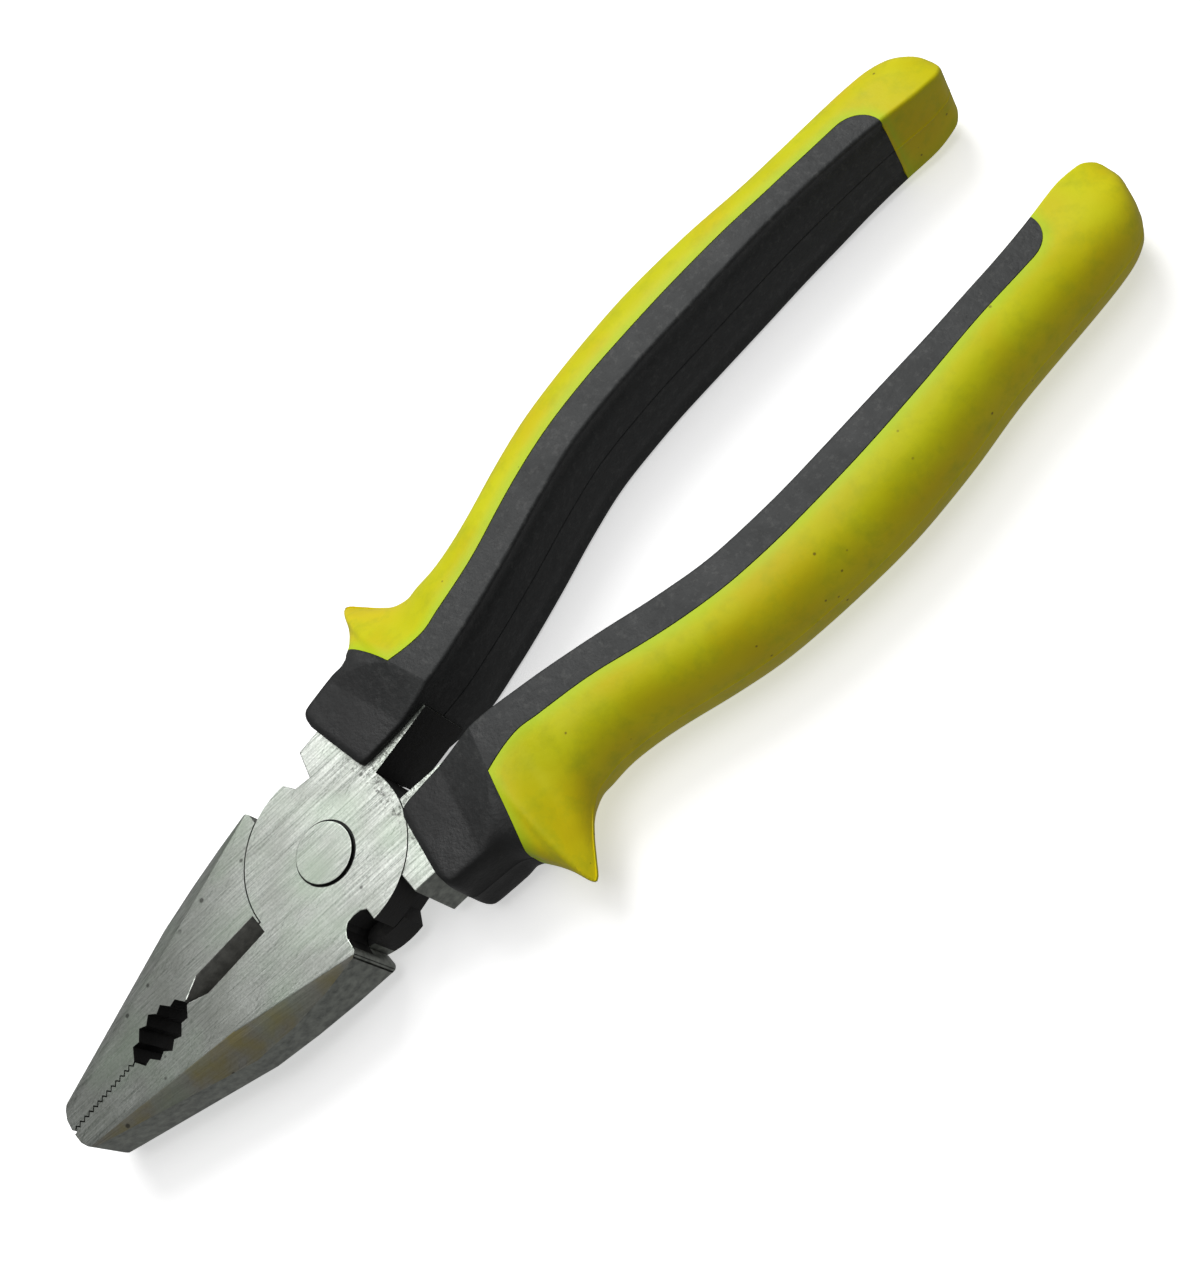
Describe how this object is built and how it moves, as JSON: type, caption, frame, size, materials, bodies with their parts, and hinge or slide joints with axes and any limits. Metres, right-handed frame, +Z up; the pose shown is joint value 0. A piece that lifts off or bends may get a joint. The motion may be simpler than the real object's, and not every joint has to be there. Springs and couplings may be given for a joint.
{
  "type": "combination pliers",
  "caption": "Steel combination pliers with a lap joint on one rivet, toothed jaws, side cutter, pipe grip and two-tone moulded grips with finger guards.",
  "frame": {"origin": "middle of the bounding box, on the surface that the closed pliers lie on", "axes": "+Y towards the jaw tips, +Z up along the rivet axis, +X towards the front half's handle"},
  "size_m": [0.0632, 0.1986, 0.018],
  "materials": {
    "forged_steel": "ground along the tool, with fine scratches and small dark pits",
    "rivet_steel": "ground flush with the head",
    "dark_rubber": "matt charcoal",
    "yellow_rubber": "smooth satin yellow with a green cast at its edges"
  },
  "bodies": {
    "rear_jaw_and_handle": {"rear_half": "forged_steel", "pivot_rivet": "rivet_steel", "rear_grip_sleeve": "dark_rubber", "rear_grip_shell": "yellow_rubber"},
    "front_jaw_and_handle": {"front_half": "forged_steel", "front_grip_sleeve": "dark_rubber", "front_grip_shell": "yellow_rubber"}
  },
  "joints": [
    {"name": "jaw_hinge", "type": "hinge", "parent": "rear_jaw_and_handle", "child": "front_jaw_and_handle", "pos_m": [0, 0.04425, 0.009], "axis": [0, 0, 1], "range_deg": [0, 40]}
  ]
}
